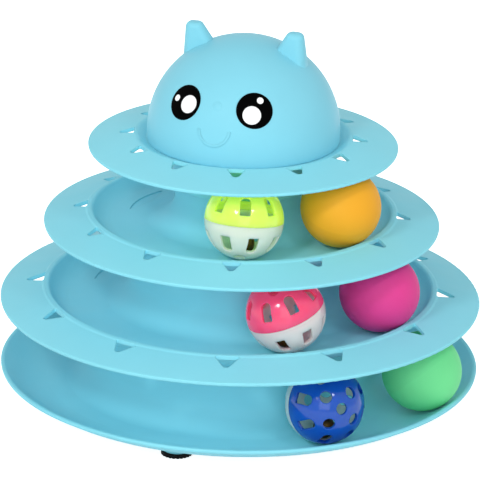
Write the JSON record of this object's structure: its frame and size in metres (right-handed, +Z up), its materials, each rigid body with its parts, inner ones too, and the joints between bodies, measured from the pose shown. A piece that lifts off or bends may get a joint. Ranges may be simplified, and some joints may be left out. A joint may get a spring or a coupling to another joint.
{
  "type": "cat_ball_track_toy",
  "caption": "Tiered round cat toy in sky-blue plastic: stacked ball tracks under a cat-head dome, with loose lattice and plain balls",
  "frame": {"origin": "centre of the footprint on the surface that the toy stands on", "axes": "+Z up along the tower's axis, the cat's face looks along -Y, +X to the right as the face is seen"},
  "size_m": [0.2482, 0.2482, 0.1963],
  "materials": {
    "sky_plastic": "smooth satin-gloss moulded plastic",
    "black_rubber": "matt rubber",
    "eye_print": "printed vinyl sticker with a clear gloss",
    "lime_plastic": "glossy moulded plastic",
    "pink_plastic": "glossy moulded plastic",
    "blue_plastic": "glossy moulded plastic",
    "white_plastic": "glossy moulded plastic, slightly translucent",
    "orange_plastic": "satin moulded plastic",
    "magenta_plastic": "satin moulded plastic",
    "green_plastic": "satin moulded plastic",
    "bell_brass": "dull plated brass",
    "pellet_steel": "bare steel"
  },
  "bodies": {
    "base": {"base_tray": "sky_plastic", "front_foot_pad": "black_rubber", "right_foot_pad": "black_rubber", "back_foot_pad": "black_rubber", "left_foot_pad": "black_rubber"},
    "lower_tier": {"lower_tray": "sky_plastic"},
    "middle_tier": {"middle_tray": "sky_plastic"},
    "top_tier": {"top_plate": "sky_plastic"},
    "head": {"cat_head": "sky_plastic", "left_eye_sticker": "eye_print", "right_eye_sticker": "eye_print"},
    "lime_bell": {"lime_ball_bell": "bell_brass", "lime_ball_bell_pellet": "pellet_steel"},
    "lime_shell": {"lime_ball_colour_half": "lime_plastic", "lime_ball_white_half": "white_plastic"},
    "orange_plain": {"orange_ball": "orange_plastic"},
    "pink_bell": {"pink_ball_bell": "bell_brass", "pink_ball_bell_pellet": "pellet_steel"},
    "pink_shell": {"pink_ball_colour_half": "pink_plastic", "pink_ball_white_half": "white_plastic"},
    "magenta_plain": {"magenta_ball": "magenta_plastic"},
    "blue_bell": {"blue_ball_bell": "bell_brass", "blue_ball_bell_pellet": "pellet_steel"},
    "blue_shell": {"blue_ball_colour_half": "blue_plastic", "blue_ball_white_half": "white_plastic"},
    "green_plain": {"green_ball": "green_plastic"}
  },
  "joints": [
    {"name": "lower_twist", "type": "hinge", "parent": "base", "child": "lower_tier", "pos_m": [0, 0, 0.04], "axis": [0, 0, 1], "range_deg": [0, 18]},
    {"name": "middle_twist", "type": "hinge", "parent": "lower_tier", "child": "middle_tier", "pos_m": [0, 0, 0.082], "axis": [0, 0, 1], "range_deg": [0, 18]},
    {"name": "top_twist", "type": "hinge", "parent": "middle_tier", "child": "top_tier", "pos_m": [0, 0, 0.125], "axis": [0, 0, 1], "range_deg": [0, 18]},
    {"name": "head_twist", "type": "hinge", "parent": "top_tier", "child": "head", "pos_m": [0, 0, 0.136], "axis": [0, 0, 1], "range_deg": [0, 18]},
    {"name": "lime_run", "type": "hinge", "parent": "middle_tier", "child": "lime_bell", "pos_m": [0, 0, 0.1128], "axis": [0, 0, 1], "continuous": true},
    {"name": "lime_roll", "type": "hinge", "parent": "lime_bell", "child": "lime_shell", "pos_m": [0.01917, -0.05442, 0.1128], "axis": [0.3322, -0.9432, 0], "continuous": true},
    {"name": "orange_run", "type": "hinge", "parent": "lime_bell", "child": "orange_plain", "pos_m": [0, 0, 0.1128], "axis": [0, 0, 1], "range_deg": [-12.2, 268.2]},
    {"name": "pink_run", "type": "hinge", "parent": "lower_tier", "child": "pink_bell", "pos_m": [0, 0, 0.07005], "axis": [0, 0, 1], "continuous": true},
    {"name": "pink_roll", "type": "hinge", "parent": "pink_bell", "child": "pink_shell", "pos_m": [0.04525, -0.06415, 0.07005], "axis": [0.5764, -0.8171, 0], "continuous": true},
    {"name": "magenta_run", "type": "hinge", "parent": "pink_bell", "child": "magenta_plain", "pos_m": [0, 0, 0.07005], "axis": [0, 0, 1], "range_deg": [-11.9, 289.5]},
    {"name": "blue_run", "type": "hinge", "parent": "base", "child": "blue_bell", "pos_m": [0, 0, 0.0273], "axis": [0, 0, 1], "continuous": true},
    {"name": "blue_roll", "type": "hinge", "parent": "blue_bell", "child": "blue_shell", "pos_m": [0.0691, -0.07131, 0.0273], "axis": [0.6959, -0.7181, 0], "continuous": true},
    {"name": "green_run", "type": "hinge", "parent": "blue_bell", "child": "green_plain", "pos_m": [0, 0, 0.0273], "axis": [0, 0, 1], "range_deg": [-15, 298.6]}
  ],
  "couplings": [
    {"joint": "lime_roll", "follows": "lime_run", "ratio": -2.885},
    {"joint": "pink_roll", "follows": "pink_run", "ratio": -3.925},
    {"joint": "blue_roll", "follows": "blue_run", "ratio": -4.965}
  ]
}
